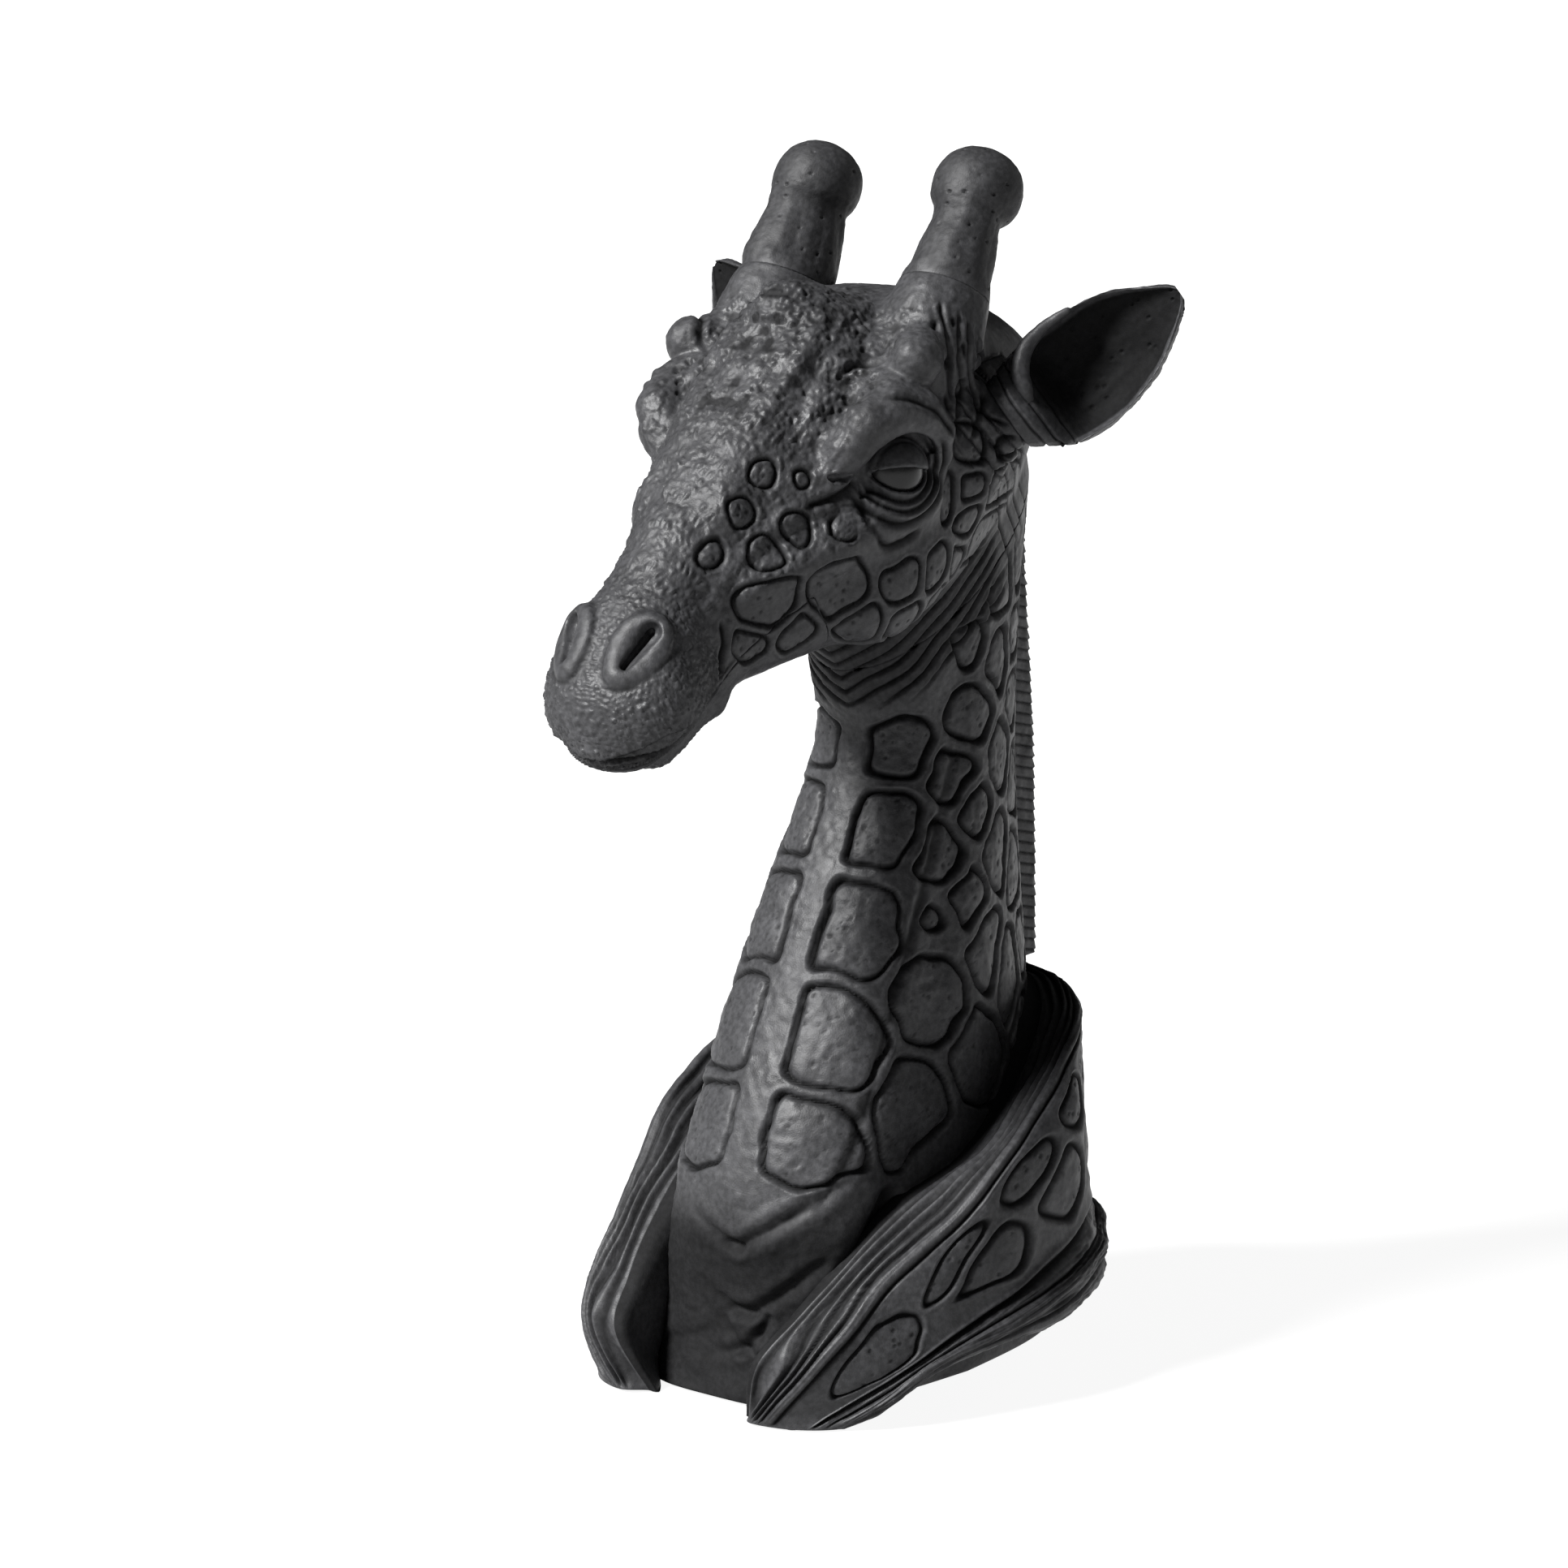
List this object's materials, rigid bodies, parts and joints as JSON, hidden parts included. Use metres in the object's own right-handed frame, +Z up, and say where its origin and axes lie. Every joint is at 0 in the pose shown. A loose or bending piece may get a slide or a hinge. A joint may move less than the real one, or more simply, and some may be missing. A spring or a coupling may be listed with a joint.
{
  "type": "carved giraffe bust",
  "caption": "Carved bust of a giraffe with a patterned neck, cupped ears, knobbed ossicones and a mantle-like drape round the foot; stands on a table as an ornament.",
  "frame": {"origin": "on the table, at the centre of the foot of the neck block, under the middle of the felt", "axes": "+Z up, -Y the way the giraffe faces, +X to the giraffe's left"},
  "size_m": [0.2356, 0.297, 0.5002],
  "materials": {
    "blackened_wood": "carved hardwood stained near black, satin wax",
    "polished_eye": "near black, polished smoother than the carving",
    "dowel_wood": "bare beech, glued in",
    "felt": "dark felt"
  },
  "bodies": {
    "root": {"neck_block": "blackened_wood", "head_block": "blackened_wood", "lower_jaw": "blackened_wood", "mane_strip": "blackened_wood", "mantle_left": "blackened_wood", "mantle_right": "blackened_wood", "ear_left": "blackened_wood", "ear_right": "blackened_wood", "ossicone_left": "blackened_wood", "ossicone_right": "blackened_wood", "eye_left": "polished_eye", "eye_right": "polished_eye", "head_dowels": "dowel_wood", "jaw_dowels": "dowel_wood", "ossicone_dowels": "dowel_wood", "ear_dowels": "dowel_wood", "mantle_dowels": "dowel_wood", "base_felt": "felt"}
  },
  "joints": []
}
